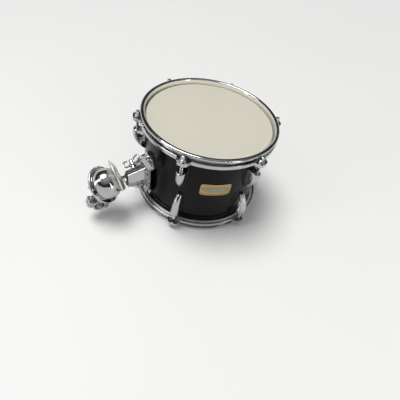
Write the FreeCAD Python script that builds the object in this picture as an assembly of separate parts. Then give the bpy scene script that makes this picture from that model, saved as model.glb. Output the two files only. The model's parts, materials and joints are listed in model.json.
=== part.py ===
import FreeCAD, Part
import math
import os

from FreeCAD import Vector

# Tom drum with a ball-joint mount, in millimetres, +Z up.
# The origin is on the drum's axis, in the plane that the bottom rim stands on.
# The badge faces -Y, the six lug columns stand at 0, 60, ... 300 degrees from +X.
# "Radius" is the distance from the drum's axis. Mount parts are drawn along +X
# and then turned about the axis to MOUNT_ANGLE.

# Drum shell
DRUM_HEIGHT = 197.0
MID_HEIGHT = DRUM_HEIGHT / 2
SHELL_RADIUS = 126.0
SHELL_WALL = 6.0
SHELL_HEIGHT = 178.0
SHELL_TOP = MID_HEIGHT + SHELL_HEIGHT / 2
SHELL_INNER = SHELL_RADIUS - SHELL_WALL
EDGE_RADIUS = 123.2
EDGE_WIDTH = 0.8
VENT_HOLE = 6.0
VENT_FLANGE = 9.0
VENT_ROLL = 8.0
VENT_BORE = 4.6
VENT_PROUD = 1.2
VENT_ANGLE = 90

# Heads and hoops
FILM = 0.4
COLLAR_RADIUS = 128.2
COLLAR_KNEE = 181.9
FILM_FLAT = 124.5
FILM_CLEARANCE = 0.1
FLESH_OUTER = 132.6
FLESH_HEIGHT = 6.0
SHEET = 2.0
HOOP_INNER = 129.0
RIM_OUTER = 137.5
RIM_DROP = 4.6
SKIRT_OUTER = 138.0
SKIRT_DEPTH = 5.8
SHELF_UNDER = SHELL_TOP - 4.7
EAR_OUTER = 150.5
EAR_ROOT_HALF = 14.0
EAR_TIP_HALF = 8.5
EAR_LIP = 4.2
EAR_BASE = 133.5
EAR_SHOULDER = 138.0
EAR_ROUND = 7.0

# Tension rods, on a circle of ROD_CIRCLE
LUG_COUNT = 6
ROD_CIRCLE = 142.0
ROD_RADIUS = 2.9
ROD_HOLE = 3.5
ROD_LENGTH = 53.0
ROD_COLLAR = 5.3
ROD_COLLAR_HEIGHT = 2.3
KEY_SQUARE = 6.4
KEY_HEIGHT = 7.4
WASHER_RADIUS = 7.0
WASHER_HEIGHT = 1.5

# Lugs: (height above the tail, half width, outer radius) of each level
LUG_TAIL = 110.5
LUG_LEVELS = (
    (0.0, 4.3, 131.6),
    (5.0, 5.3, 137.0),
    (14.0, 6.5, 143.6),
    (26.0, 7.8, 149.2),
    (38.0, 8.6, 150.6),
    (46.5, 8.5, 149.8),
)
LUG_BASE = 120.0
LUG_ROUND = 2.2
GASKET = 1.0
NUT_RADIUS = 4.5
NUT_LENGTH = 16.0
NUT_TOP_DROP = 2.0
LUG_SCREW_RADIUS = 1.95
LUG_SCREW_HEIGHTS = (12.0, 37.0)
LUG_SCREW_REACH = 133.0
LUG_SCREW_FIT = 0.35
LUG_WASHER_RADIUS = 6.0
LUG_WASHER_HEIGHT = 1.2
THREAD_FIT = 0.05

# Badge
BADGE_LENGTH = 60.0
BADGE_HEIGHT = 29.0
BADGE_CENTRE = 114.0
BADGE_THICK = 1.2
BADGE_CORNER = 6.0
BADGE_CORNER_MIN = 1.5
BADGE_BORDER = 2.2
BADGE_FIELD = 8.5
BADGE_RECESS = 0.5
BADGE_ENAMEL = 0.3

# Mount bracket and rod receiver
MOUNT_ANGLE = 201.0
MOUNT_Z = 78.0
BRACKET_HALF = 52.0
BRACKET_BOLT_Z = 43.0
BRACKET_OUTER = 138.6
BRACKET_SHEET = 3.6
PAD = 1.6
MOUNT_BOLT_RADIUS = 3.0
MOUNT_HEAD_RADIUS = 7.0
MOUNT_HEAD_HEIGHT = 3.6
MOUNT_HEX_SOCKET = 5.0
MOUNT_WASHER_RADIUS = 10.0
MOUNT_WASHER_HEIGHT = 1.6
MOUNT_NUT_FLATS = 10.0
MOUNT_NUT_HEIGHT = 5.0
HEEL_WIDTH = 34.0
HEEL_HEIGHT = 46.0
HEEL_ROUND = 3.5
BRACKET_NARROW = 11.0
BRACKET_WIDE = 20.0
BRACKET_SHOULDER = 30.0
RECEIVER_SCREW_Z = 17.0
RECEIVER_SCREW_RADIUS = 1.85
RECEIVER_SCREW_HEAD = 3.8
RECEIVER_SCREW_END = 147.0
RECEIVER_END = 176.0
RECEIVER_BASE_SECTION = (26.0, 8.0, 13.0)
RECEIVER_END_SECTION = (16.0, 7.0, 11.0)
INSERT_DEPTH = 10.0
INSERT_PROUD = 1.6
HEX_FLATS = 12.0
HEX_FIT = 0.06
ROD_RISE = 3.0
WING_STATION = 154.0
WING_THICK = 4.4
WING_HUB_FOOT = 6.4
WING_HUB_RADIUS = 5.0
WING_HUB_HEIGHT = 13.0
WING_SHAFT_RADIUS = 3.0
WING_FOOT_RADIUS = 7.0
WING_FOOT_HEIGHT = 2.0
WING_ROD_GAP = 1.2
WING_SEAT = 21.0
WING_ELEVATION = 20.0
WING_TURN = 36.0

# Ball joint: the housing is tilted up from the rod at rest
BALL_CENTRE = 217.0
BALL_RADIUS = 21.0
LINER_OUTER = 23.6
SPHERE_FIT = 0.05
HOUSING_RADIUS = 31.0
FLANGE_RADIUS = 37.0
FLANGE_HALF = 2.4
FLANGE_SCREW_CIRCLE = 34.2
FLANGE_SCREWS = 4
SPLIT_LEVEL = -6.0
HOUSING_TILT = 13.0
NECK_RADIUS = 7.6
SOCKET_OPENING = 18.8
LINER_OPENING = 26.0
LINER_BACK = 15.0
DISH_PLANE = 21.0
DISH_MOUTH = 21.8
# Dish: (distance in front of its rim, radius, height of the centre) of each level
DISH_LEVELS = (
    (0.0, 32.2, 10.5),
    (1.6, 32.6, 10.5),
    (4.2, 31.0, 8.8),
    (6.8, 28.2, 5.4),
    (9.0, 24.0, 0.8),
)

# Pipe clamp under the housing
TUBE_RADIUS = 9.5
CLAMP_WALL = 3.2
CLAMP_WIDTH = 22.0
CLAMP_OFFSET = (20.0, -45.0)
CLAMP_SPLIT = 1.5
CLAMP_EAR = 15.6
CLAMP_EAR_END = 21.0
CLAMP_EAR_HEIGHT = 5.0
CLAMP_BOLT_RADIUS = 2.5
CLAMP_BOLT_FIT = 0.06
CLAMP_SPOT_FACE = 5.1

X = Vector(1, 0, 0)
Y = Vector(0, 1, 0)
Z = Vector(0, 0, 1)
ORIGIN = Vector(0, 0, 0)

# Directions in the housing's own frame, where the rod comes from -X
CROWN = Vector(-0.74, 0.47, 0.48).normalize()
LOCK_SIDE = Vector(0.35, -0.80, -0.49).normalize()


# General shapes

def upright(shape):
    """The solid with its faces turned outwards."""
    if shape.Volume < 0:
        shape.reverse()
    return shape


def corner_arc(before, corner, after, radius):
    """Start, middle and end of the arc that rounds a corner."""
    to_before = (before - corner).normalize()
    to_after = (after - corner).normalize()
    half = to_before.getAngle(to_after) / 2
    reach = radius / math.tan(half)
    bisector = (to_before + to_after).normalize()
    middle = corner + bisector * (radius / math.sin(half) - radius)
    return corner + to_before * reach, middle, corner + to_after * reach


def rounded_wire(points, radii):
    """Closed wire through the points, each corner rounded to its radius."""
    corners = []
    count = len(points)
    for i, (point, radius) in enumerate(zip(points, radii)):
        if radius > 0:
            corners.append(corner_arc(points[i - 1], point, points[(i + 1) % count], radius))
        else:
            corners.append((point, None, point))
    edges = []
    for i, (start, middle, end) in enumerate(corners):
        if middle is not None:
            edges.append(Part.Arc(start, middle, end).toShape())
        following = corners[(i + 1) % count][0]
        if end.distanceToPoint(following) > 1e-6:
            edges.append(Part.makeLine(end, following))
    return Part.Wire(edges)


def ring(profile, angle=360):
    """Turns a closed outline of (radius, height, corner radius) about Z."""
    points = [Vector(radius, 0, height) for radius, height, _ in profile]
    wire = rounded_wire(points, [corner for _, _, corner in profile])
    return upright(Part.Face(wire).revolve(ORIGIN, Z, angle))


def facing(shape, direction):
    """A copy turned so that its +Z looks along direction."""
    copy = shape.copy()
    copy.Placement = FreeCAD.Placement(ORIGIN, FreeCAD.Rotation(Z, direction)).multiply(copy.Placement)
    return copy


def plate(points, radii, direction, depth):
    """A flat rounded outline pushed through depth along direction."""
    face = Part.Face(rounded_wire(points, radii))
    return upright(face.extrude(direction * depth))


def tube(outer, inner, low, high):
    """Upright tube about Z."""
    wall = Part.makeCylinder(outer, high - low, Vector(0, 0, low))
    return wall.cut(Part.makeCylinder(inner, high - low + 2, Vector(0, 0, low - 1)))


def rod_x(radius, start, end, y=0, z=0):
    """Cylinder along X from start to end."""
    return Part.makeCylinder(radius, end - start, Vector(start, y, z), X)


def turned(shape, angle):
    """A copy turned about the drum's axis."""
    copy = shape.copy()
    copy.rotate(ORIGIN, Z, angle)
    return copy


def flipped(shape):
    """A copy mirrored about the drum's middle height."""
    return upright(shape.mirror(Vector(0, 0, MID_HEIGHT), Z))


def around(shape, count=LUG_COUNT):
    """Copies of the shape spread evenly about the drum's axis."""
    return [turned(shape, i * 360 / count) for i in range(count)]


def both_ends(shapes):
    """The shapes and their mirror images at the other end of the drum."""
    return list(shapes) + [flipped(shape) for shape in shapes]


def group(shapes):
    """Separate solids kept together in one node."""
    return Part.makeCompound(shapes)


def hexagon(flats, start, end, z=0):
    """Hexagonal bar along X with two flats facing up and down."""
    corner = flats / math.sqrt(3)
    angles = [math.radians(60 * i) for i in range(6)]
    points = [Vector(start, corner * math.cos(a), z + corner * math.sin(a)) for a in angles]
    return plate(points, [0] * 6, X, end - start)


# Shell, heads and hoops

def shell():
    crest_in = EDGE_RADIUS - EDGE_WIDTH / 2
    crest_out = EDGE_RADIUS + EDGE_WIDTH / 2
    slope = crest_in - SHELL_INNER
    outer_drop = 3.5
    bottom = DRUM_HEIGHT - SHELL_TOP
    body = ring([
        (SHELL_INNER, bottom + slope, 0), (crest_in, bottom, 0), (crest_out, bottom, 0),
        (SHELL_RADIUS, bottom + outer_drop, 1.5), (SHELL_RADIUS, SHELL_TOP - outer_drop, 1.5),
        (crest_out, SHELL_TOP, 0), (crest_in, SHELL_TOP, 0), (SHELL_INNER, SHELL_TOP - slope, 0),
    ])
    holes = [turned(rod_x(VENT_HOLE, 110, 130, 0, MID_HEIGHT), VENT_ANGLE)]
    for height in LUG_SCREW_HEIGHTS:
        hole = rod_x(LUG_SCREW_RADIUS + LUG_SCREW_FIT, 110, 130, 0, LUG_TAIL + height)
        holes += both_ends(around(hole))
    for side in (-1, 1):
        hole = rod_x(3.4, 110, 130, 0, MOUNT_Z + side * BRACKET_BOLT_Z)
        holes.append(turned(hole, MOUNT_ANGLE))
    return body.cut(holes)


def vent_grommet():
    flange_out = rod_x(VENT_FLANGE, SHELL_RADIUS - 0.3, SHELL_RADIUS + VENT_PROUD)
    flange_in = rod_x(VENT_ROLL, SHELL_INNER - 1.0, SHELL_INNER + 0.2)
    sleeve = rod_x(VENT_HOLE - 0.1, SHELL_INNER - 1.0, SHELL_RADIUS + VENT_PROUD)
    body = flange_out.fuse([flange_in, sleeve])
    body = body.cut(rod_x(VENT_BORE, 110, 130))
    wall = tube(SHELL_RADIUS, SHELL_INNER, -12, 12).cut(rod_x(VENT_HOLE, 110, 130))
    body = body.cut(wall)
    body.translate(Vector(0, 0, MID_HEIGHT))
    return turned(body, VENT_ANGLE)


def head_film():
    """Batter side film: flat, over the bearing edge and down into its flesh hoop."""
    under = SHELL_TOP + FILM_CLEARANCE
    top = under + FILM
    foot = SHELF_UNDER - FLESH_HEIGHT
    outer = COLLAR_RADIUS + FILM
    return ring([
        (0, under, 0), (FILM_FLAT, under, 2.0), (COLLAR_RADIUS, COLLAR_KNEE, 1.5), (COLLAR_RADIUS, foot, 0),
        (outer, foot, 0), (outer, COLLAR_KNEE, 1.9), (FILM_FLAT + 0.2, top, 2.4), (0, top, 0),
    ])


def flesh_hoop():
    inner = COLLAR_RADIUS + FILM
    foot = SHELF_UNDER - FLESH_HEIGHT
    return ring([
        (inner, foot, 0), (FLESH_OUTER, foot, 1.2),
        (FLESH_OUTER, SHELF_UNDER, 1.2), (inner, SHELF_UNDER, 0),
    ])


def ear_outline(inset):
    root = EAR_ROOT_HALF - inset
    tip = EAR_TIP_HALF - inset
    end = EAR_OUTER - inset
    points = [Vector(EAR_BASE, -root, 0), Vector(EAR_SHOULDER, -root, 0), Vector(end, -tip, 0),
              Vector(end, tip, 0), Vector(EAR_SHOULDER, root, 0), Vector(EAR_BASE, root, 0)]
    outer_round = EAR_ROUND - inset
    return points, [0, EAR_ROUND, outer_round, outer_round, EAR_ROUND, 0]


def hoop_ear():
    """Ear with a turned-down edge, drilled for its tension rod."""
    points, radii = ear_outline(0)
    body = plate(points, radii, Z, SHEET + EAR_LIP)
    points, radii = ear_outline(SHEET)
    hollow = plate(points, radii, Z, EAR_LIP)
    ear = body.cut(hollow)
    ear.translate(Vector(0, 0, SHELF_UNDER - EAR_LIP))
    return ear


def hoop():
    """Batter side hoop: rolled rim, wall, shelf on the flesh hoop, skirt and ears."""
    shelf = SHELF_UNDER + SHEET
    wall_outer = HOOP_INNER + SHEET
    skirt_inner = SKIRT_OUTER - SHEET
    lip_inner = RIM_OUTER - SHEET
    rim_under = DRUM_HEIGHT - SHEET
    foot = SHELF_UNDER - SKIRT_DEPTH
    lip = DRUM_HEIGHT - RIM_DROP
    body = ring([
        (skirt_inner, foot, 0.4), (SKIRT_OUTER, foot, 0.8), (SKIRT_OUTER, shelf, 1.8),
        (wall_outer, shelf, 1.5), (wall_outer, rim_under, 1.2), (lip_inner, rim_under, 1.2),
        (lip_inner, lip, 0.6), (RIM_OUTER, lip, 0.8), (RIM_OUTER, DRUM_HEIGHT, 3.0),
        (HOOP_INNER, DRUM_HEIGHT, 3.0), (HOOP_INNER, SHELF_UNDER, 0.4),
        (skirt_inner, SHELF_UNDER, 0.4),
    ])
    ears = [ear.cut(tube(134.8, 120, 160, 190)) for ear in around(hoop_ear())]
    body = body.fuse(ears)
    hole = Part.makeCylinder(ROD_HOLE, 30, Vector(ROD_CIRCLE, 0, 165))
    return body.cut(around(hole)).removeSplitter()


# Lugs and tension rods

def lug_section(height, half, outer):
    """Level outline of the lug: straight sides and a round nose."""
    nose = outer - half
    low = Vector(LUG_BASE, -half, height)
    high = Vector(LUG_BASE, half, height)
    start = Vector(nose, -half, height)
    end = Vector(nose, half, height)
    return Part.Wire([
        Part.makeLine(low, start),
        Part.Arc(start, Vector(outer, 0, height), end).toShape(),
        Part.makeLine(end, high),
        Part.makeLine(high, low),
    ])


def lug_block(grow=0.0):
    """Tapering lug body before it is cut to the shell."""
    sections = []
    for height, half, outer in LUG_LEVELS:
        shift = grow if height > 0 else -grow
        sections.append(lug_section(LUG_TAIL + height + shift, half + grow, outer + grow))
    return upright(Part.makeLoft(sections, True, False))


def lug():
    body = lug_block()
    ends = []
    top = LUG_TAIL + LUG_LEVELS[-1][0]
    for edge in body.Edges:
        level = edge.BoundBox
        flat = level.ZLength < 0.01
        if flat and (level.ZMin > top - 0.01 or level.ZMax < LUG_TAIL + 0.01) and level.XMax > 121:
            ends.append(edge)
    body = body.makeFillet(LUG_ROUND, ends)
    body = body.cut(Part.makeCylinder(SHELL_RADIUS + GASKET, 80, Vector(0, 0, 95)))
    nut_top = top - NUT_TOP_DROP
    nut_bore = Part.makeCylinder(NUT_RADIUS + THREAD_FIT, 40, Vector(ROD_CIRCLE, 0, nut_top - NUT_LENGTH))
    rod_bore = Part.makeCylinder(ROD_RADIUS + 0.5, 40, Vector(ROD_CIRCLE, 0, top - 26))
    screws = [rod_x(LUG_SCREW_RADIUS, 120, LUG_SCREW_REACH + 0.5, 0, LUG_TAIL + h)
              for h in LUG_SCREW_HEIGHTS]
    return body.cut([nut_bore, rod_bore] + screws)


def lug_gasket():
    """Thin pad between a lug and the shell, showing as a line around the lug."""
    wall = tube(SHELL_RADIUS + GASKET, SHELL_RADIUS, 100, 165)
    pad = wall.common(lug_block(0.7))
    for height in LUG_SCREW_HEIGHTS:
        pad = pad.cut(rod_x(LUG_SCREW_RADIUS + LUG_SCREW_FIT, 110, 130, 0, LUG_TAIL + height))
    return pad


def swivel_nut():
    top = LUG_TAIL + LUG_LEVELS[-1][0] - NUT_TOP_DROP
    nut = Part.makeCylinder(NUT_RADIUS, NUT_LENGTH, Vector(ROD_CIRCLE, 0, top - NUT_LENGTH))
    return nut.cut(Part.makeCylinder(ROD_RADIUS + THREAD_FIT, 40, Vector(ROD_CIRCLE, 0, top - 30)))


def washer_seat():
    """Height of the hoop ear's top face."""
    return SHELF_UNDER + SHEET


def rod_washer():
    washer = Part.makeCylinder(WASHER_RADIUS, WASHER_HEIGHT, Vector(ROD_CIRCLE, 0, washer_seat()))
    washer = washer.makeFillet(0.5, [washer.Edges[0]])
    return washer.cut(Part.makeCylinder(ROD_RADIUS + 0.2, 10, Vector(ROD_CIRCLE, 0, washer_seat() - 1)))


def key_head(low, height):
    """Square head for a drum key, standing on Z."""
    half = KEY_SQUARE / 2
    corners = [Vector(x, y, low) for x, y in ((-half, -half), (half, -half), (half, half), (-half, half))]
    return plate(corners, [0.9] * 4, Z, height)


def tension_rod():
    """Threaded rod with a round collar and a square key head."""
    seat = washer_seat() + WASHER_HEIGHT
    place = Vector(ROD_CIRCLE, 0, 0)
    shaft = Part.makeCylinder(ROD_RADIUS, ROD_LENGTH, place + Z * (seat - ROD_LENGTH))
    shaft = shaft.makeChamfer(0.8, [edge for edge in shaft.Edges if edge.BoundBox.ZMax < seat - 1])
    collar = Part.makeCylinder(ROD_COLLAR, ROD_COLLAR_HEIGHT, place + Z * seat)
    collar = collar.makeChamfer(0.6, [e for e in collar.Edges if e.BoundBox.ZMin > seat + 1])
    key = key_head(0, KEY_HEIGHT)
    key = key.makeChamfer(0.5, [e for e in key.Edges if e.BoundBox.ZMin > KEY_HEIGHT - 0.01])
    key.translate(place + Z * (seat + ROD_COLLAR_HEIGHT - 0.2))
    return shaft.fuse([collar, key])


def washer_face():
    """Radius where a lug washer's rim meets the inside of the shell."""
    return math.sqrt(SHELL_INNER ** 2 - LUG_WASHER_RADIUS ** 2)


def lug_screw():
    head_height = 2.4
    seat = washer_face() - LUG_WASHER_HEIGHT
    shaft = rod_x(LUG_SCREW_RADIUS, seat - 1, LUG_SCREW_REACH)
    head = rod_x(4.0, seat - head_height, seat)
    head = head.makeFillet(1.0, [e for e in head.Edges if e.BoundBox.XMax < seat - 1])
    slot = rod_x(1.3, seat - head_height - 1, seat - head_height + 1.2)
    return shaft.fuse(head).cut(slot)


def lug_washer():
    face = washer_face()
    ring_block = rod_x(LUG_WASHER_RADIUS, face - LUG_WASHER_HEIGHT, face)
    return ring_block.cut(rod_x(LUG_SCREW_RADIUS + LUG_SCREW_FIT, 110, 130))


def at_lug_screws(shape):
    """Copies at every lug screw, top and bottom."""
    copies = []
    for height in LUG_SCREW_HEIGHTS:
        copy = shape.copy()
        copy.translate(Vector(0, 0, LUG_TAIL + height))
        copies += both_ends(around(copy))
    return copies


# Badge, drawn facing -Y

def badge_block(inset):
    """Plain rounded rectangle, inset from the plaque's edge, pushed through the shell's wall."""
    half = BADGE_LENGTH / 2 - inset
    rise = BADGE_HEIGHT / 2 - inset
    corner = max(BADGE_CORNER - inset, BADGE_CORNER_MIN)
    corners = ((half, rise), (-half, rise), (-half, -rise), (half, -rise))
    points = [Vector(x, -SHELL_RADIUS - 20, BADGE_CENTRE + z) for x, z in corners]
    return plate(points, [corner] * 4, Y, 60)


def badge_plate():
    """Curved plaque with a raised border."""
    outer = SHELL_RADIUS + BADGE_THICK
    field = tube(outer, SHELL_RADIUS, 90, 140).common(badge_block(0))
    recess = tube(outer + 1, outer - BADGE_RECESS, 90, 140).common(badge_block(BADGE_BORDER))
    return field.cut(recess)


def badge_inlay():
    """Enamel panel lying in the plaque's field."""
    floor = SHELL_RADIUS + BADGE_THICK - BADGE_RECESS
    return tube(floor + BADGE_ENAMEL, floor, 90, 140).common(badge_block(BADGE_FIELD))


# Mount bracket and receiver, drawn along +X about z = MOUNT_Z

def mounted(shape):
    """Lifts a mount part to its height and turns it to the mount's side."""
    copy = shape.copy()
    copy.translate(Vector(0, 0, MOUNT_Z))
    return turned(copy, MOUNT_ANGLE)


def bracket_outline(inset=0.0):
    end = BRACKET_HALF - inset
    narrow = BRACKET_NARROW - inset
    wide = BRACKET_WIDE - inset
    shoulder = BRACKET_SHOULDER
    corners = [(narrow, end), (wide, shoulder), (wide, -shoulder), (narrow, -end),
               (-narrow, -end), (-wide, -shoulder), (-wide, shoulder), (-narrow, end)]
    points = [Vector(110, y, z) for y, z in corners]
    return plate(points, [8, 12, 12, 8, 8, 12, 12, 8], X, 40)


def mount_bracket():
    """Arched plate: two feet on the shell and a raised middle for the receiver."""
    foot_in = SHELL_RADIUS + PAD
    foot_out = foot_in + BRACKET_SHEET
    rise_in = BRACKET_OUTER - BRACKET_SHEET
    profile = [
        (foot_in, -60, 0), (foot_out, -60, 0), (foot_out, -33, 3), (BRACKET_OUTER, -25, 5),
        (BRACKET_OUTER, 25, 5), (foot_out, 33, 3), (foot_out, 60, 0), (foot_in, 60, 0),
        (foot_in, 31, 5), (rise_in, 23, 3), (rise_in, -23, 3), (foot_in, -31, 5),
    ]
    band = turned(ring(profile, 20), -10)
    body = band.common(bracket_outline())
    holes = [rod_x(3.2, 110, 150, 0, side * BRACKET_BOLT_Z) for side in (-1, 1)]
    screw_hole = RECEIVER_SCREW_RADIUS + THREAD_FIT
    holes += [rod_x(screw_hole, 110, 150, 0, side * RECEIVER_SCREW_Z) for side in (-1, 1)]
    holes.append(rod_x(8.2, 110, 150, 0, ROD_RISE))
    return body.cut(holes)


def mount_pad(side):
    """Rubber pad under one foot of the bracket."""
    wall = tube(SHELL_RADIUS + PAD, SHELL_RADIUS, -60, 60)
    block = Part.makeBox(60, 40, 24, Vector(100, -20, 30 if side > 0 else -54))
    pad = wall.common(bracket_outline(-0.8)).common(block)
    return pad.cut(rod_x(3.4, 110, 150, 0, side * BRACKET_BOLT_Z))


def mount_bolt(side):
    """Hex-socket bolt with a wide dished head, through bracket, pad and shell."""
    seat = SHELL_RADIUS + PAD + BRACKET_SHEET
    z = side * BRACKET_BOLT_Z
    head = rod_x(MOUNT_HEAD_RADIUS, seat, seat + MOUNT_HEAD_HEIGHT, 0, z)
    head = head.makeFillet(1.6, [e for e in head.Edges if e.BoundBox.XMin > seat + 1])
    shaft = rod_x(MOUNT_BOLT_RADIUS, 108, seat + 1, 0, z)
    return shaft.fuse(head).cut(hexagon(MOUNT_HEX_SOCKET, seat + 1.4, seat + 5, z))


def mount_nut(side):
    """Washer and nut inside the shell."""
    face = math.sqrt(SHELL_INNER ** 2 - MOUNT_WASHER_RADIUS ** 2)
    seat = face - MOUNT_WASHER_HEIGHT
    z = side * BRACKET_BOLT_Z
    washer = rod_x(MOUNT_WASHER_RADIUS, seat, face, 0, z)
    nut = hexagon(MOUNT_NUT_FLATS, seat - MOUNT_NUT_HEIGHT, seat, z)
    return washer.fuse(nut).cut(rod_x(MOUNT_BOLT_RADIUS + THREAD_FIT, 100, 130, 0, z))


def receiver_section(x, section, shrink=0.0):
    """Six-sided outline with flat top and bottom and a ridge along each side."""
    height, flat, ridge = [value - shrink for value in section]
    corners = [(flat, height), (ridge, 0), (flat, -height), (-flat, -height), (-ridge, 0), (-flat, height)]
    return Part.makePolygon([Vector(x, y, z) for y, z in corners + corners[:1]])


def receiver_body():
    base = receiver_section(BRACKET_OUTER + 0.2, RECEIVER_BASE_SECTION)
    end = receiver_section(RECEIVER_END, RECEIVER_END_SECTION)
    body = upright(Part.makeLoft([base, end], True, True))
    body = body.makeFillet(1.4, [e for e in body.Edges if e.BoundBox.XMax > BRACKET_OUTER + 1])
    heel_corner = Vector(BRACKET_OUTER - 1, -HEEL_WIDTH / 2, -HEEL_HEIGHT / 2)
    heel = Part.makeBox(4, HEEL_WIDTH, HEEL_HEIGHT, heel_corner)
    heel = heel.makeFillet(HEEL_ROUND, [e for e in heel.Edges if e.BoundBox.XLength > 3.9])
    heel = heel.cut(Part.makeCylinder(BRACKET_OUTER, 60, Vector(0, 0, -30)))
    body = body.fuse(heel)
    body = body.cut(Part.makeCylinder(BRACKET_OUTER, 60, Vector(0, 0, -30)))
    cuts = [insert_block(RECEIVER_END - INSERT_DEPTH, RECEIVER_END + 5)]
    cuts.append(hexagon(HEX_FLATS + 1.0, BRACKET_OUTER - 2, RECEIVER_END, ROD_RISE))
    screw_hole = RECEIVER_SCREW_RADIUS + THREAD_FIT
    cuts += [rod_x(screw_hole, 120, RECEIVER_SCREW_END + 1, 0, side * RECEIVER_SCREW_Z) for side in (-1, 1)]
    cuts.append(placed_bolt(Part.makeCylinder(3.1, 30, Vector(0, 0, -25))))
    cuts += facet_panels()
    return body.cut(cuts)


def facet_panels():
    """Shallow panels sunk into the lower facet on each side of the receiver."""
    panels = []
    for side in (-1, 1):
        low, high = (-18.5, -3.5)
        points = [Vector(145, side * 30, low), Vector(170, side * 30, low + 5),
                  Vector(170, side * 30, high), Vector(145, side * 30, high)]
        block = plate(points, [2, 2, 2, 2], Y * -side, 30)
        skin = Part.makeLoft([receiver_section(BRACKET_OUTER, RECEIVER_BASE_SECTION, 0.8),
                              receiver_section(RECEIVER_END, RECEIVER_END_SECTION, 0.8)], True, True)
        panels.append(block.cut(skin))
    return panels


def insert_block(start, end):
    """Six-sided block that follows the receiver's end."""
    height, flat, ridge = RECEIVER_END_SECTION
    section = (height - 3.4, flat - 2.0, ridge - 2.2)
    face = Part.Face(receiver_section(start, section))
    return upright(face.extrude(X * (end - start)))


def receiver_insert():
    """Plastic bush that guides the hexagonal rod."""
    body = insert_block(RECEIVER_END - INSERT_DEPTH, RECEIVER_END + INSERT_PROUD)
    return body.cut(hexagon(HEX_FLATS + 2 * HEX_FIT, 150, 190, ROD_RISE))


def receiver_screw(side):
    """Flat-headed screw from behind the bracket into the receiver."""
    z = side * RECEIVER_SCREW_Z
    face = BRACKET_OUTER - BRACKET_SHEET - 0.1
    head = rod_x(RECEIVER_SCREW_HEAD, face - 2.2, face, 0, z)
    return head.fuse(rod_x(RECEIVER_SCREW_RADIUS, face - 1, RECEIVER_SCREW_END, 0, z))


# Wing bolt, drawn standing on z = 0 with its shaft going down

def wing(side):
    """One curved wing with a hollow."""
    corners = [(3.5, 3.0), (14.0, 4.0), (20.5, 10.0), (20.0, 19.0), (12.5, 21.0), (3.5, 12.0)]
    points = [Vector(side * x, -WING_THICK / 2, z) for x, z in corners]
    hollow = [(8.5, 6.8), (13.5, 7.3), (16.8, 11.2), (16.5, 16.2), (13.2, 17.2), (8.5, 12.2)]
    inner = [Vector(side * x, -WING_THICK, z) for x, z in hollow]
    body = plate(points, [1, 3.5, 4, 3, 3.5, 1], Y, WING_THICK)
    return body.cut(plate(inner, [1, 1.5, 1.5, 1.2, 1.5, 1], Y, 2 * WING_THICK))


def wing_bolt(shaft_length):
    hub = Part.makeCone(WING_HUB_FOOT, WING_HUB_RADIUS, WING_HUB_HEIGHT)
    cap = Part.makeSphere(WING_HUB_RADIUS, Vector(0, 0, WING_HUB_HEIGHT))
    shaft = Part.makeCylinder(WING_SHAFT_RADIUS, shaft_length + 1, Vector(0, 0, -shaft_length))
    foot = Part.makeCylinder(WING_FOOT_RADIUS, WING_FOOT_HEIGHT)
    return hub.fuse([cap, shaft, foot, wing(-1), wing(1)])


def bolt_frame():
    """Placement of the receiver's wing bolt, over the receiver's back facet."""
    rise = math.radians(WING_ELEVATION)
    axis = Vector(0, -math.cos(rise), math.sin(rise))
    spin = math.radians(WING_TURN)
    level = X * -1
    lift = level.cross(axis)
    if lift.z < 0:
        lift = lift * -1
    across = level * math.cos(spin) + lift * math.sin(spin)
    rotation = FreeCAD.Rotation(across, axis.cross(across), axis, "ZXY")
    return FreeCAD.Placement(Vector(WING_STATION, 0, ROD_RISE) + axis * WING_SEAT, rotation)


def placed_bolt(shape):
    copy = shape.copy()
    copy.Placement = bolt_frame().multiply(copy.Placement)
    return copy


def receiver_wing_bolt():
    return placed_bolt(wing_bolt(WING_SEAT - HEX_FLATS / 2 - WING_ROD_GAP))


def receiver_boss():
    """Threaded boss under the wing bolt."""
    boss = Part.makeCone(8.4, 6.6, 13.0, Vector(0, 0, -13.4))
    boss = boss.cut(Part.makeCylinder(3.1, 30, Vector(0, 0, -20)))
    boss = placed_bolt(boss)
    core = Part.makeLoft([receiver_section(BRACKET_OUTER, RECEIVER_BASE_SECTION),
                          receiver_section(RECEIVER_END, RECEIVER_END_SECTION)], True, True)
    return boss.cut(core)


# Hexagonal rod and ball

def hex_rod():
    start = 143.0
    bar = hexagon(HEX_FLATS, start, BALL_CENTRE - BALL_RADIUS + 4, ROD_RISE)
    nose = Part.makeCone(5.6, 8.6, 3.0, Vector(start, 0, ROD_RISE), X)
    body = rod_x(8.6, start + 3, start + 83, 0, ROD_RISE)
    return bar.common(nose.fuse(body))


def ball_centre():
    return Vector(BALL_CENTRE, 0, ROD_RISE)


def rod_ball():
    """Resin ball moulded onto the end of the rod, with its round neck."""
    front = BALL_CENTRE - BALL_RADIUS - 6
    neck = rod_x(NECK_RADIUS, front, BALL_CENTRE, 0, ROD_RISE)
    neck = neck.makeFillet(1.0, [e for e in neck.Edges if e.BoundBox.XMax < front + 0.1])
    body = Part.makeSphere(BALL_RADIUS, ball_centre()).fuse(neck)
    return body.cut(hexagon(HEX_FLATS, 140, BALL_CENTRE - BALL_RADIUS + 4, ROD_RISE))


def on_circle(radius, angle):
    """Point of a circle about the ball's centre, in the XZ plane, with the angle from +X."""
    return Vector(radius * math.cos(angle), 0, radius * math.sin(angle))


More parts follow.
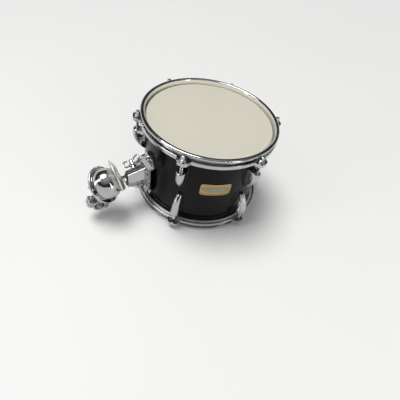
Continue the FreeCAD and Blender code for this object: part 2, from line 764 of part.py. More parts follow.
def ball_liner():
    """Thin plastic shell between ball and housing, open towards the rod and behind the ball."""
    mouth = math.pi - math.radians(LINER_OPENING)
    arcs = []
    for radius in (LINER_OUTER, BALL_RADIUS + SPHERE_FIT):
        back = math.acos(LINER_BACK / radius)
        points = [on_circle(radius, angle) for angle in (back, (back + mouth) / 2, mouth)]
        arcs.append(points)
    outer, inner = arcs
    edges = [Part.Arc(*outer).toShape(), Part.makeLine(outer[2], inner[2]),
             Part.Arc(*inner).toShape(), Part.makeLine(inner[0], outer[0])]
    profile = Part.Face(Part.Wire(Part.__sortEdges__(edges)))
    body = upright(profile.revolve(ORIGIN, X, 360))
    body.translate(ball_centre())
    return body


# Ball housing, drawn about the ball's centre with the rod coming from -X

def housed(shape):
    """Tilts a housing part and takes it to the ball's centre."""
    copy = shape.copy()
    copy.rotate(ORIGIN, Y, HOUSING_TILT)
    copy.translate(ball_centre())
    return copy


def flange_spots():
    """Centres of the flange screws, about the crown's axis."""
    angles = [math.radians(20 + 360 / FLANGE_SCREWS * i) for i in range(FLANGE_SCREWS)]
    return [(FLANGE_SCREW_CIRCLE * math.cos(a), FLANGE_SCREW_CIRCLE * math.sin(a)) for a in angles]


def socket_half(upper):
    """Part of the ball's socket above or below the split, with its flange."""
    low = SPLIT_LEVEL if upper else -80
    keep = Part.makeBox(160, 160, 80 + (0 if upper else SPLIT_LEVEL), Vector(-80, -80, low))
    flange = Part.makeCylinder(FLANGE_RADIUS, 2 * FLANGE_HALF, Vector(0, 0, SPLIT_LEVEL - FLANGE_HALF))
    body = Part.makeSphere(HOUSING_RADIUS).fuse(flange).common(keep)
    face = SPLIT_LEVEL + (FLANGE_HALF if upper else -FLANGE_HALF)
    edges = [e for e in body.Edges if abs(e.BoundBox.ZMax - face) < 0.01 and e.BoundBox.ZLength < 0.01]
    rim = [e for e in edges if e.BoundBox.XLength > 2 * FLANGE_RADIUS - 1]
    body = body.makeFillet(1.4, rim)
    body = body.cut(Part.makeSphere(LINER_OUTER + SPHERE_FIT))
    holes = [Part.makeCylinder(1.3, 20, Vector(x, y, SPLIT_LEVEL - 10)) for x, y in flange_spots()]
    return facing(body.cut(holes), CROWN)


def socket_dome():
    """Crowned half, opened for the rod's neck and faced for the dish."""
    mouth = rod_x(SOCKET_OPENING, -60, 0)
    face = Part.makeBox(60, 160, 160, Vector(-60 - DISH_PLANE, -80, -80))
    return socket_half(True).cut([mouth, face])


def socket_base():
    """Lower half, drilled for the lock bolt."""
    return socket_half(False).cut(facing(Part.makeCylinder(3.1, 60), LOCK_SIDE))


def front_dish():
    """Off-centre bell around the rod's mouth, facing the drum."""
    rim = -DISH_PLANE
    depth = DISH_LEVELS[-1][0]
    rings = [Part.Wire([Part.makeCircle(radius, Vector(rim - step, 0, height), X)])
             for step, radius, height in DISH_LEVELS]
    body = upright(Part.makeLoft(rings, True, False))
    mouth = Part.makeCone(SOCKET_OPENING, DISH_MOUTH, depth, Vector(rim, 0, 0), X * -1)
    ends = [rod_x(SOCKET_OPENING, rim - 1, rim + 2), rod_x(DISH_MOUTH, rim - depth - 2, rim - depth)]
    return body.cut([mouth] + ends)


def housing_screw():
    """Button-head screw standing on the flange's upper face."""
    seat = SPLIT_LEVEL + FLANGE_HALF
    head = Part.makeCylinder(2.6, 1.8, Vector(0, 0, seat))
    head = head.makeFillet(0.7, [e for e in head.Edges if e.BoundBox.ZMin > seat + 1])
    head = head.cut(Part.makeCylinder(1.1, 3, Vector(0, 0, seat + 0.8)))
    return head.fuse(Part.makeCylinder(1.25, 2 * FLANGE_HALF + 0.5, Vector(0, 0, SPLIT_LEVEL - FLANGE_HALF)))


def housing_screws():
    screws = []
    for x, y in flange_spots():
        screw = housing_screw()
        screw.translate(Vector(x, y, 0))
        screws.append(housed(facing(screw, CROWN)))
    return group(screws)


def ball_lock_bolt():
    """Wing bolt that presses the liner, on the side away from the badge."""
    bolt = wing_bolt(HOUSING_RADIUS + 1.0 - LINER_OUTER - 0.3)
    bolt.rotate(ORIGIN, Z, 25)
    bolt.translate(Vector(0, 0, HOUSING_RADIUS + 1.0))
    return housed(facing(bolt, LOCK_SIDE))


def lock_boss():
    """Flat seat for the lock bolt on the lower half."""
    boss = Part.makeCylinder(8.0, 6.0, Vector(0, 0, HOUSING_RADIUS - 5.2))
    boss = boss.cut([Part.makeCylinder(3.1, 60), Part.makeSphere(HOUSING_RADIUS - 0.5)])
    return facing(boss, LOCK_SIDE)


# Pipe clamp, drawn about the tube's axis (along Y) with the housing above it

def clamp_frame():
    """Placement of the clamp under the housing."""
    dx, dz = CLAMP_OFFSET
    tilt = math.degrees(math.atan2(-dx, -dz))
    return FreeCAD.Placement(ball_centre() + Vector(dx, 0, dz), FreeCAD.Rotation(Y, tilt))


def clamped(shape):
    copy = shape.copy()
    copy.Placement = clamp_frame().multiply(copy.Placement)
    return copy


def across_y(radius, half, x=0, z=0):
    """Cylinder along Y, centred."""
    return Part.makeCylinder(radius, 2 * half, Vector(x, -half, z), Y)


def clamp_half(side):
    """Half of the clamp's ring with two bolt ears, above (1) or below (-1) the split."""
    half = CLAMP_WIDTH / 2
    gap = CLAMP_SPLIT / 2
    low = gap if side > 0 else -gap - CLAMP_EAR_HEIGHT
    ears = Part.makeBox(2 * CLAMP_EAR_END, CLAMP_WIDTH, CLAMP_EAR_HEIGHT, Vector(-CLAMP_EAR_END, -half, low))
    corners = [e for e in ears.Edges if e.BoundBox.ZLength > CLAMP_EAR_HEIGHT - 0.1]
    body = across_y(TUBE_RADIUS + CLAMP_WALL, half).fuse(ears.makeFillet(4, corners))
    keep = Part.makeBox(90, 80, 45, Vector(-45, -40, gap if side > 0 else -45 - gap))
    hole = CLAMP_BOLT_RADIUS + CLAMP_BOLT_FIT
    seat = gap + CLAMP_EAR_HEIGHT
    cuts = [across_y(TUBE_RADIUS, 40)]
    for x in (-CLAMP_EAR, CLAMP_EAR):
        cuts.append(Part.makeCylinder(hole, 40, Vector(x, 0, -20)))
        cuts.append(Part.makeCylinder(CLAMP_SPOT_FACE, 10, Vector(x, 0, seat)))
    return body.common(keep).cut(cuts)


def clamp_base():
    """Half of the clamp next to the housing, with the neck that carries it."""
    reach = math.hypot(*CLAMP_OFFSET)
    neck = Part.makeCone(8.5, 11.0, reach - 11, Vector(0, 0, 11), Z).cut(across_y(TUBE_RADIUS + 1, 40))
    body = clamped(clamp_half(1).fuse(neck))
    return body.cut([Part.makeSphere(HOUSING_RADIUS, ball_centre()), housed(lock_boss())])


def clamp_bolt(side):
    """Key bolt down through both ears, with its head on the housing's side."""
    seat = CLAMP_SPLIT / 2 + CLAMP_EAR_HEIGHT
    end = -seat - 6.0
    shaft = Part.makeCylinder(CLAMP_BOLT_RADIUS, seat - end, Vector(0, 0, end))
    collar = Part.makeCylinder(4.8, 1.8, Vector(0, 0, seat))
    bolt = shaft.fuse([collar, key_head(seat + 1.8, 6.0)])
    bolt.translate(Vector(side * CLAMP_EAR, 0, 0))
    return clamped(bolt)


def clamp_nut(side):
    """Square nut under the cap's ear."""
    seat = -CLAMP_SPLIT / 2 - CLAMP_EAR_HEIGHT
    nut = Part.makeBox(8, 8, 4, Vector(side * CLAMP_EAR - 4, -4, seat - 4))
    nut = nut.makeFillet(0.8, [e for e in nut.Edges if e.BoundBox.ZLength > 3])
    hole = CLAMP_BOLT_RADIUS + CLAMP_BOLT_FIT
    return clamped(nut.cut(Part.makeCylinder(hole, 20, Vector(side * CLAMP_EAR, 0, seat - 10))))


# All nodes

def drum_nodes():
    nodes = {
        "shell": shell(),
        "vent_grommet": vent_grommet(),
        "batter_head": head_film(),
        "batter_flesh_hoop": flesh_hoop(),
        "batter_hoop": hoop(),
        "lug_gaskets": group(both_ends(around(lug_gasket()))),
        "lug_screws": group(at_lug_screws(lug_screw())),
        "lug_washers": group(at_lug_screws(lug_washer())),
        "swivel_nuts": group(both_ends(around(swivel_nut()))),
        "rod_washers": group(both_ends(around(rod_washer()))),
        "badge_plate": badge_plate(),
        "badge_inlay": badge_inlay(),
    }
    nodes["resonant_head"] = flipped(nodes["batter_head"])
    nodes["resonant_flesh_hoop"] = flipped(nodes["batter_flesh_hoop"])
    nodes["resonant_hoop"] = flipped(nodes["batter_hoop"])
    for kind, first in (("lug", lug()), ("tension_rod", tension_rod())):
        for i, shape in enumerate(around(first), 1):
            nodes[f"{kind}_top_{i}"] = shape
            nodes[f"{kind}_bottom_{i}"] = flipped(shape)
    return nodes


def mount_nodes():
    parts = {
        "mount_pads": group([mount_pad(-1), mount_pad(1)]),
        "mount_bracket": mount_bracket(),
        "mount_bolts": group([mount_bolt(-1), mount_bolt(1)]),
        "mount_nuts": group([mount_nut(-1), mount_nut(1)]),
        "receiver_body": receiver_body().fuse(receiver_boss()),
        "receiver_insert": receiver_insert(),
        "receiver_screws": group([receiver_screw(-1), receiver_screw(1)]),
        "receiver_wing_bolt": receiver_wing_bolt(),
        "hex_rod": hex_rod(),
        "rod_ball": rod_ball(),
        "ball_liner": ball_liner(),
        "socket_dome": housed(socket_dome()),
        "socket_base": housed(socket_base().fuse(lock_boss())),
        "front_dish": housed(front_dish()),
        "housing_screws": housing_screws(),
        "ball_lock_bolt": ball_lock_bolt(),
        "clamp_base": clamp_base(),
        "clamp_cap": clamped(clamp_half(-1)),
        "clamp_bolt_1": clamp_bolt(-1),
        "clamp_bolt_2": clamp_bolt(1),
        "clamp_nuts": group([clamp_nut(-1), clamp_nut(1)]),
    }
    return {name: mounted(shape) for name, shape in parts.items()}


def main():
    os.makedirs("parts", exist_ok=True)
    nodes = {**drum_nodes(), **mount_nodes()}
    for name, shape in nodes.items():
        shape.exportStep(f"parts/{name}.step")
    for name, shape in sorted(nodes.items()):
        state = "ok" if shape.isValid() else "INVALID"
        print(f"{name:24s} {len(shape.Solids):3d} solids {shape.Volume:12.1f} mm3 {state}")
    print(len(nodes), "nodes")


main()
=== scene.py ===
"""Looks of a tom drum with a ball-joint mount: materials, threaded rods, wing bolts, light and camera."""
import json
import math

import bmesh
import bpy
from mathutils import Matrix, Vector


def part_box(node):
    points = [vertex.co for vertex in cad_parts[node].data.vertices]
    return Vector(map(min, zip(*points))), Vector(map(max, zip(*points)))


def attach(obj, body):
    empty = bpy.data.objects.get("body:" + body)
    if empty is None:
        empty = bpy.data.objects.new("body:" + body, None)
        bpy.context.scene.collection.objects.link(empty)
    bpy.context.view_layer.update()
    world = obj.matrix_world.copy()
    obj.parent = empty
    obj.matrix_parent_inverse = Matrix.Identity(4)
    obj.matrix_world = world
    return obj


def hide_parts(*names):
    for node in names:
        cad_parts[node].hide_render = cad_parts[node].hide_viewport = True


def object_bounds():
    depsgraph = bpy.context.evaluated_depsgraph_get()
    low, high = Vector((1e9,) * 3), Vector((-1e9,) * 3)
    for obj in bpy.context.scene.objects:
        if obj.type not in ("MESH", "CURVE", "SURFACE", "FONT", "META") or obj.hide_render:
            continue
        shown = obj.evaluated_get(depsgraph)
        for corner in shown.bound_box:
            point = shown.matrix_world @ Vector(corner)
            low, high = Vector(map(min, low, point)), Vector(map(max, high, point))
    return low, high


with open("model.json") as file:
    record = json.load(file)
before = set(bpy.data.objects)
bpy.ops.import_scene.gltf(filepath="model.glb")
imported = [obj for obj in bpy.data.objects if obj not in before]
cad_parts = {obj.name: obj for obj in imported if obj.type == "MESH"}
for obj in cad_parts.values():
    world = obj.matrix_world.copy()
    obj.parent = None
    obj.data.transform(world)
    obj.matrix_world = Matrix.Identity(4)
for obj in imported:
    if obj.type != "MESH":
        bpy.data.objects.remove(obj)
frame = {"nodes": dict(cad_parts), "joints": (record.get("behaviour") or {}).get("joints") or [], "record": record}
cad_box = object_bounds()
NODES = frame["nodes"]
JOINTS = {joint["name"]: joint for joint in frame["joints"]}
MM = 0.001

SHELL_LOW, SHELL_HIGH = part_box("shell")
SHELL_RADIUS = SHELL_HIGH.x
HOOP_WALL = 129.0 * MM  # radius of the hoops' inner wall


# Node trees

# Places of a Mix node's factor and colour sockets, because several of its sockets share a name
MIX_FACTOR, MIX_FIRST, MIX_SECOND, MIX_RESULT = 0, 6, 7, 2


class Tree:
    """Short calls for building one material's node tree, in the object's own coordinates."""

    def __init__(self, name):
        self.material = bpy.data.materials.new(name)
        self.material.use_nodes = True
        self.tree = self.material.node_tree
        self.shader = self.tree.nodes["Principled BSDF"]
        self.place = self.node("ShaderNodeTexCoord").outputs["Object"]

    def node(self, kind, **settings):
        made = self.tree.nodes.new(kind)
        for key, value in settings.items():
            setattr(made, key, value)
        return made

    def link(self, source, target):
        """Joins a socket to the target, or sets the target to a plain value."""
        if isinstance(source, bpy.types.NodeSocket):
            self.tree.links.new(source, target)
        else:
            target.default_value = source

    def math(self, operation, *values):
        made = self.node("ShaderNodeMath", operation=operation)
        for socket, value in zip(made.inputs, values):
            self.link(value, socket)
        return made.outputs[0]

    def noise(self, scale, detail=3.0, stretch=(1, 1, 1), source=None):
        """Cloudy pattern with about scale patches to a metre, drawn out along an axis of stretch under 1."""
        mapping = self.node("ShaderNodeMapping")
        self.link(source or self.place, mapping.inputs["Vector"])
        mapping.inputs["Scale"].default_value = stretch
        made = self.node("ShaderNodeTexNoise")
        self.link(mapping.outputs[0], made.inputs["Vector"])
        made.inputs["Scale"].default_value = scale
        made.inputs["Detail"].default_value = detail
        return made.outputs["Fac"]

    def ramp(self, source, low, high, start=0.3, end=0.7):
        """A number from low to high as source goes from start to end."""
        made = self.node("ShaderNodeMapRange")
        self.link(source, made.inputs["Value"])
        for key, value in (("From Min", start), ("From Max", end), ("To Min", low), ("To Max", high)):
            made.inputs[key].default_value = value
        return made.outputs["Result"]

    def blend(self, factor, first, second):
        """Colour from first to second as factor goes from 0 to 1."""
        made = self.node("ShaderNodeMix", data_type="RGBA")
        self.link(factor, made.inputs[MIX_FACTOR])
        self.link(colour(first), made.inputs[MIX_FIRST])
        self.link(colour(second), made.inputs[MIX_SECOND])
        return made.outputs[MIX_RESULT]

    def bump(self, height, strength, distance):
        """Relief for the shader, where a height of 1 stands distance metres proud at full strength."""
        made = self.node("ShaderNodeBump")
        self.link(height, made.inputs["Height"])
        made.inputs["Strength"].default_value = strength
        made.inputs["Distance"].default_value = distance
        self.link(made.outputs[0], self.shader.inputs["Normal"])

    def set(self, **values):
        """Sets or links the shader's inputs, with underscores for the spaces in their names."""
        for key, value in values.items():
            self.link(value, self.shader.inputs[key.replace("_", " ")])

    def around_drum(self):
        """Distance from the drum's axis, angle about it and height."""
        split = self.node("ShaderNodeSeparateXYZ")
        self.link(self.place, split.inputs[0])
        x, y = split.outputs[0], split.outputs[1]
        squares = self.math("ADD", self.math("MULTIPLY", x, x), self.math("MULTIPLY", y, y))
        return self.math("SQRT", squares), self.math("ARCTAN2", y, x), split.outputs[2]


def colour(value):
    """Opaque colour from three numbers, or a socket as it is."""
    return (*value, 1.0) if isinstance(value, tuple) and len(value) == 3 else value


# Materials

WALL_SKIN = 0.5 * MM  # thickness of the hoops' inner wall that carries a painted highlight


def chrome(name="chrome_plate", wave=0.30, painted_wall_highlight=False):
    """Plating with finger marks, hairlines and slight waves, and on a hoop a painted highlight on its inner wall.
    """
    m = Tree(name)
    smudge = m.noise(38.0, detail=4.0)
    waves = m.noise(62.0, detail=1.0)
    hairline = m.noise(420.0, detail=2.0, stretch=(1, 1, 0.08))
    plate = m.blend(smudge, (0.42, 0.43, 0.445), (0.53, 0.53, 0.52))
    gloss = m.math("ADD", m.ramp(smudge, 0.03, 0.09), m.ramp(hairline, 0.0, 0.03))
    if painted_wall_highlight:
        radius, _, _ = m.around_drum()
        # painted highlight: the hoop's inner wall gets a near-white plate that stands in for the lit head it
        # reflects
        plate = m.blend(m.math("LESS_THAN", radius, HOOP_WALL + WALL_SKIN), plate, (0.95, 0.94, 0.91))
    m.set(Metallic=1.0, Base_Color=plate, Roughness=gloss)
    m.bump(m.math("ADD", m.math("MULTIPLY", hairline, 0.01), waves), strength=wave, distance=4.0 * MM)
    return m.material


LACQUER_BAND = 0.6 * MM  # depth from the shell's outer face that counts as lacquered
GRAIN_UP = 14.0  # how much faster the ply's grain changes up the shell than round it
GRAIN_THROUGH = 60.0  # and through the wall, from ply to ply


def black_lacquer():
    """Black lacquer outside, bare ply on the edges and the inside."""
    m = Tree("black_lacquer_on_ply")
    radius, angle, height = m.around_drum()
    grain_place = m.node("ShaderNodeCombineXYZ")
    m.link(m.math("MULTIPLY", angle, SHELL_RADIUS), grain_place.inputs[0])
    m.link(m.math("MULTIPLY", height, GRAIN_UP), grain_place.inputs[1])
    m.link(m.math("MULTIPLY", radius, GRAIN_THROUGH), grain_place.inputs[2])
    grain = m.noise(34.0, detail=6.0, source=grain_place.outputs[0])
    wood = m.blend(grain, (0.30, 0.15, 0.065), (0.55, 0.33, 0.16))
    outside = m.math("GREATER_THAN", radius, SHELL_RADIUS - LACQUER_BAND)
    smudge = m.noise(16.0, detail=4.0)
    swirl = m.noise(260.0, detail=2.0, stretch=(1, 1, 0.3))
    black = m.blend(smudge, (0.0025, 0.0025, 0.0030), (0.007, 0.0068, 0.0065))
    m.set(Base_Color=m.blend(outside, wood, black))
    gloss = m.math("ADD", m.ramp(smudge, 0.10, 0.22), m.ramp(swirl, 0.0, 0.04))
    m.set(Roughness=m.math("ADD", gloss, m.math("MULTIPLY", m.math("SUBTRACT", 1.0, outside), 0.35)))
    m.set(Coat_Weight=m.math("MULTIPLY", outside, 0.04), Coat_Roughness=0.05, Specular_IOR_Level=0.09)
    m.bump(m.math("ADD", m.math("MULTIPLY", swirl, 0.15), grain), strength=0.04, distance=0.2 * MM)
    return m.material


SHADE_START = 2.4 * MM  # distance from the hoop's wall where the painted shade on the head begins
SHADE_END = 0.6 * MM  # and where it is darkest


def head_film(name, coated):
    """Drum film, clear or with a sprayed coat that has a fine tooth, the coated film with a painted shade that
    darkens it towards the hoop's wall.
    """
    m = Tree(name)
    radius, _, _ = m.around_drum()
    cloud = m.noise(9.0)
    tooth = m.noise(1500.0, detail=2.0)
    coat = m.blend(cloud, (0.575, 0.555, 0.465), (0.615, 0.597, 0.505))
    bare = m.blend(cloud, (0.60, 0.61, 0.60), (0.70, 0.71, 0.70))
    # painted shade: the coated head darkens near the hoop's wall, where the junction's shadow falls
    painted_shade = m.ramp(radius, 0.0, 1.0, start=HOOP_WALL - SHADE_START, end=HOOP_WALL - SHADE_END)
    m.set(Base_Color=m.blend(painted_shade, coat, (0.33, 0.32, 0.27)) if coated else bare)
    gloss = m.ramp(tooth, 0.50, 0.66) if coated else m.ramp(cloud, 0.22, 0.34)
    m.set(Roughness=gloss, Specular_IOR_Level=0.4)
    m.bump(tooth, strength=0.35 if coated else 0.03, distance=0.08 * MM)
    return m.material


def metal(name, dark, light, rough, scale=180.0, stretch=(1, 1, 1)):
    """Plated or brushed metal with a varying grain."""
    m = Tree(name)
    grain = m.noise(scale, detail=4.0, stretch=stretch)
    patch = m.noise(26.0)
    m.set(Metallic=1.0, Base_Color=m.blend(patch, dark, light))
    m.set(Roughness=m.math("ADD", m.ramp(grain, rough - 0.07, rough + 0.07), m.ramp(patch, 0.0, 0.06)))
    m.bump(grain, strength=0.12, distance=0.08 * MM)
    return m.material


def moulded(name, dark, light, rough, scale=700.0, relief=0.25):
    """Moulded rubber or plastic with a fine skin."""
    m = Tree(name)
    skin = m.noise(scale)
    patch = m.noise(30.0)
    m.set(Base_Color=m.blend(patch, dark, light))
    m.set(Roughness=m.math("ADD", m.ramp(skin, rough - 0.06, rough + 0.06), m.ramp(patch, -0.03, 0.05)))
    m.bump(skin, strength=relief, distance=0.1 * MM)
    return m.material


def badge_panel():
    """Satin enamel with a fine horizontal brush."""
    m = Tree("badge_panel_enamel")
    brush = m.noise(900.0, stretch=(0.05, 0.05, 1))
    patch = m.noise(60.0)
    m.set(Metallic=0.7, Base_Color=m.blend(patch, (0.22, 0.215, 0.15), (0.34, 0.315, 0.21)))
    m.set(Roughness=m.ramp(brush, 0.30, 0.45))
    m.bump(brush, strength=0.12, distance=0.06 * MM)
    return m.material


MATERIALS = {
    "black_lacquer": black_lacquer(),
    "coated_film": head_film("coated_film_skin", True),
    "clear_film": head_film("clear_film_skin", False),
    "aluminium": metal("satin_aluminium", (0.66, 0.67, 0.69), (0.78, 0.79, 0.80), rough=0.32),
    "chrome": chrome(),
    "zinc_steel": metal("zinc_plate", (0.50, 0.51, 0.53), (0.66, 0.66, 0.65), rough=0.34),
    "black_rubber": moulded("moulded_rubber", (0.012, 0.012, 0.012), (0.028, 0.028, 0.028), rough=0.66),
    "black_nylon": moulded("moulded_nylon", (0.012, 0.012, 0.014), (0.024, 0.024, 0.026), rough=0.42),
    "ball_resin": moulded("ball_resin_skin", (0.030, 0.030, 0.032), (0.055, 0.055, 0.058), rough=0.34,
                          scale=300.0, relief=0.08),
    "badge_gold": metal("pale_gold_plate", (0.31, 0.22, 0.095), (0.47, 0.35, 0.17), rough=0.22,
                        scale=600.0, stretch=(0.08, 0.08, 1)),
    "badge_panel": badge_panel(),
}


def paint_nodes():
    """Gives every CAD node the material of its slot, but the dish and the hoops one of their own: the dish a satin
    plate with a painted pale sheen, the hoops a plate with a painted highlight on the inner wall.
    """
    # the hoops' plate carries a painted highlight on its inner wall
    rolled = chrome("rolled_hoop_plate_wall_highlight", wave=0.14, painted_wall_highlight=True)
    # satin finish, with a painted sheen: the dish's pale cream colour stands in for the ceiling light it reflects
    satin_and_painted_sheen = metal("satin_plate_painted_sheen", (0.78, 0.75, 0.69), (0.90, 0.87, 0.81), rough=0.36, scale=420.0)
    own = {"front_dish": satin_and_painted_sheen, "batter_hoop": rolled, "resonant_hoop": rolled}
    for part in frame["record"]["subparts"]:
        node = NODES[part["node"]]
        node.data.materials.clear()
        node.data.materials.append(own.get(part["node"], MATERIALS[part["material_slot"]]))


# Mesh helpers

def piece(name, mesh, slot_name, body, node=None):
    """Puts a mesh in the scene, riding on a body, and standing for a CAD node if one is given."""
    made = bpy.data.objects.new(name, mesh)
    bpy.context.scene.collection.objects.link(made)
    mesh.materials.append(MATERIALS[slot_name])
    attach(made, body)
    if node:
        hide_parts(node)


def revolve(bm, profile, segments, place):
    """Closed surface of revolution about Z through (radius, height) points, from axis to axis."""
    rings = []
    for radius, height in profile:
        if radius == 0:
            rings.append([bm.verts.new(place @ Vector((0, 0, height)))])
            continue
        ring = []
        for i in range(segments):
            angle = 2 * math.pi * i / segments
            point = Vector((radius * math.cos(angle), radius * math.sin(angle), height))
            ring.append(bm.verts.new(place @ point))
        rings.append(ring)
    for low, high in zip(rings, rings[1:]):
        for i in range(segments):
            j = (i + 1) % segments
            corners = [low[i % len(low)], low[j % len(low)], high[j % len(high)], high[i % len(high)]]
            corners = list(dict.fromkeys(corners))
            if len(corners) > 2:
                bm.faces.new(corners)


def bridge(bm, first, second):
    """Band of faces between two closed rings with as many points as each other."""
    count = len(first)
    for i in range(count):
        j = (i + 1) % count
        bm.faces.new((first[i], first[j], second[j], second[i]))


def finish_mesh(bm, name, smooth_angle=35):
    """Mesh with outward faces, smooth except at sharp edges."""
    bmesh.ops.recalc_face_normals(bm, faces=bm.faces)
    for face in bm.faces:
        face.smooth = True
    for edge in bm.edges:
        edge.smooth = len(edge.link_faces) == 2 and edge.calc_face_angle(0) < math.radians(smooth_angle)
    mesh = bpy.data.meshes.new(name)
    bm.to_mesh(mesh)
    bm.free()
    return mesh


def frame_along(origin, axis, across):
    """Placement with Z along axis and X towards across."""
    z = axis.normalized()
    x = (across - z * across.dot(z)).normalized()
    matrix = Matrix((x, z.cross(x), z)).transposed().to_4x4()
    matrix.translation = origin
    return matrix


# Tension rods

RODS_PER_HEAD = 6
ROD_RADIUS = 2.9 * MM
SHANK_RADIUS = ROD_RADIUS - 0.1 * MM
THREAD_ROOT = 2.5 * MM
THREAD_PITCH = 1.06 * MM
THREAD_START = 0.8 * MM
THREAD_LENGTH = 38.0 * MM
THREAD_OVERLAP = 1.2 * MM  # how far the shank's foot reaches into the thread
TIP_BEVEL = 0.5 * MM
TIP_HEIGHT = 1.6 * MM
COLLAR_RADIUS = 5.3 * MM
COLLAR_HEIGHT = 2.3 * MM
KEY_HALF = 3.2 * MM
KEY_HEIGHT = 7.4 * MM
KEY_CORNER = 0.9 * MM
KEY_CORNER_STEPS = 4
KEY_SINK = 0.05 * MM  # how far the key head sinks into the collar
KEY_TOP = ((1.0 * MM, 1.0), (0.25 * MM, 0.86), (0, 0.62))  # distance below the top, and width there
ROD_SEGMENTS = 32


def thread(bm, low, high, place, segments=20):
    """Helical thread between the heights low and high, with its two ends filled.

    A crest runs between a root and the same root one turn on, so the roots go on for a turn more.
    """
    turns = (high - low) / THREAD_PITCH - 1
    steps = int(turns * segments)
    roots, crests = [], []
    for k in range(steps + segments + 1):
        angle = 2 * math.pi * k / segments
        height = low + THREAD_PITCH * k / segments
        ray = Vector((math.cos(angle), math.sin(angle), 0))
        roots.append(bm.verts.new(place @ (ray * THREAD_ROOT + Vector((0, 0, height)))))
        if k <= steps:
            crest_height = Vector((0, 0, height + THREAD_PITCH / 2))
            crests.append(bm.verts.new(place @ (ray * ROD_RADIUS + crest_height)))
    for k in range(steps):
        bm.faces.new((roots[k], roots[k + 1], crests[k + 1], crests[k]))
        bm.faces.new((crests[k], crests[k + 1], roots[k + 1 + segments], roots[k + segments]))
    edges = [edge for edge in bm.edges if edge.is_boundary]
    bmesh.ops.holes_fill(bm, edges=edges, sides=0)


def key_head(bm, low, place):
    """Square head with rounded corners and a chamfered, slightly crowned top."""
    levels = [(low, 1.0)] + [(low + KEY_HEIGHT - depth, width) for depth, width in KEY_TOP]
    rings = []
    for height, width in levels:
        ring = []
        for i in range(4):
            quadrant = Vector((1 if i in (0, 3) else -1, 1 if i in (0, 1) else -1, 0))
            for step in range(KEY_CORNER_STEPS + 1):
                angle = math.pi / 2 * (i + step / KEY_CORNER_STEPS)
                ray = Vector((math.cos(angle), math.sin(angle), 0))
                point = quadrant * (KEY_HALF - KEY_CORNER) + ray * KEY_CORNER
                ring.append(bm.verts.new(place @ (point * width + Vector((0, 0, height)))))
        rings.append(ring)
    for lower, upper in zip(rings, rings[1:]):
        bridge(bm, lower, upper)
    bm.faces.new(rings[0])
    bm.faces.new(rings[-1])


def tension_rod(node):
    """Threaded rod with a plain shank, a round collar and a square key head."""
    low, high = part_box(node)
    centre = (low + high) / 2
    upward = centre.z > (SHELL_LOW.z + SHELL_HIGH.z) / 2
    tip = low.z if upward else high.z
    way = Vector((0, 0, 1 if upward else -1))
    place = frame_along(Vector((centre.x, centre.y, tip)), way, Vector((centre.x, centre.y, 0)))
    foot = THREAD_LENGTH - THREAD_OVERLAP
    collar = high.z - low.z - COLLAR_HEIGHT - KEY_HEIGHT
    top = collar + COLLAR_HEIGHT
    shank = [(0, foot), (THREAD_ROOT, foot), (SHANK_RADIUS, THREAD_LENGTH + 0.4 * MM),
             (SHANK_RADIUS, collar - 0.8 * MM), (ROD_RADIUS + 0.4 * MM, collar + 0.05 * MM),
             (COLLAR_RADIUS - 0.3 * MM, collar + 0.05 * MM), (COLLAR_RADIUS, collar + 0.4 * MM),
             (COLLAR_RADIUS, top - 0.7 * MM), (COLLAR_RADIUS - 0.25 * MM, top - 0.25 * MM),
             (COLLAR_RADIUS - 0.8 * MM, top), (0, top)]
    tip_profile = [(0, 0), (THREAD_ROOT - TIP_BEVEL, 0), (THREAD_ROOT, 0.7 * MM), (THREAD_ROOT, TIP_HEIGHT),
                   (0, TIP_HEIGHT)]
    bm = bmesh.new()
    thread(bm, THREAD_START, THREAD_LENGTH, place)
    revolve(bm, shank, ROD_SEGMENTS, place)
    revolve(bm, tip_profile, ROD_SEGMENTS, place)
    key_head(bm, top - KEY_SINK, place)
    name = node + "_threaded"
    piece(name, finish_mesh(bm, name, smooth_angle=50), "chrome", node, node)


# Wing bolts

# A wing is worked out in millimetres, across and up from the bolt's seat
WING_MIDDLE = (12.4, 11.7)
WING_HALF_WIDTH = 6.2
WING_HALF_HEIGHT = 6.0
WING_LEAN = 1.3  # how much higher the outer side stands than the middle
WING_SQUARENESS = 0.62  # 1 gives an ellipse, and less gives squarer corners
WING_SECTION = (1.75, 2.15)  # half widths of the oval section, in the loop's plane and across it
WING_SWELL = 0.14  # how much thicker the section is at the outer side than at the middle
SMALL_TURN = 0.02  # step in radians for the direction of the centre line

SHAFT_RADIUS = 3.0 * MM
SHAFT_BEVEL = 0.6 * MM
HUB_TOP_RADIUS = 5.1 * MM
HUB_HEIGHT = 12.5 * MM
DOME_HEIGHT = 4.9 * MM
DOME_ANGLES = (0.25, 0.5, 0.8, 1.1, 1.35)  # radians above the dome's foot
HUB_SEGMENTS = 40


def wing_line(angle):
    """Point on the wing's centre line, a leaning loop with squared corners."""
    c, s = math.cos(angle), math.sin(angle)
    wide = math.copysign(abs(c) ** WING_SQUARENESS, c)
    tall = math.copysign(abs(s) ** WING_SQUARENESS, s)
    across = WING_MIDDLE[0] + WING_HALF_WIDTH * wide
    up = WING_MIDDLE[1] + WING_HALF_HEIGHT * tall + WING_LEAN * wide
    return across, up


def wing_loop(bm, side, place, around=48, section=12):
    """Cast wing: a closed loop of oval section that swells towards its tip."""
    rings = []
    for i in range(around):
        angle = 2 * math.pi * i / around
        across, up = wing_line(angle)
        next_across, next_up = wing_line(angle + SMALL_TURN)
        centre = Vector((side * across, 0, up))
        tangent = Vector((side * (next_across - across), 0, next_up - up)).normalized()
        outward = Vector((0, 1, 0)).cross(tangent) * side
        swell = 1.0 + WING_SWELL * math.cos(angle)
        ring = []
        for j in range(section):
            turn = 2 * math.pi * j / section
            in_plane = outward * (WING_SECTION[0] * swell * math.cos(turn))
            offset = in_plane + Vector((0, WING_SECTION[1] * swell * math.sin(turn), 0))
            ring.append(bm.verts.new(place @ ((centre + offset) * MM)))
        rings.append(ring)
    for i in range(around):
        bridge(bm, rings[i], rings[(i + 1) % around])


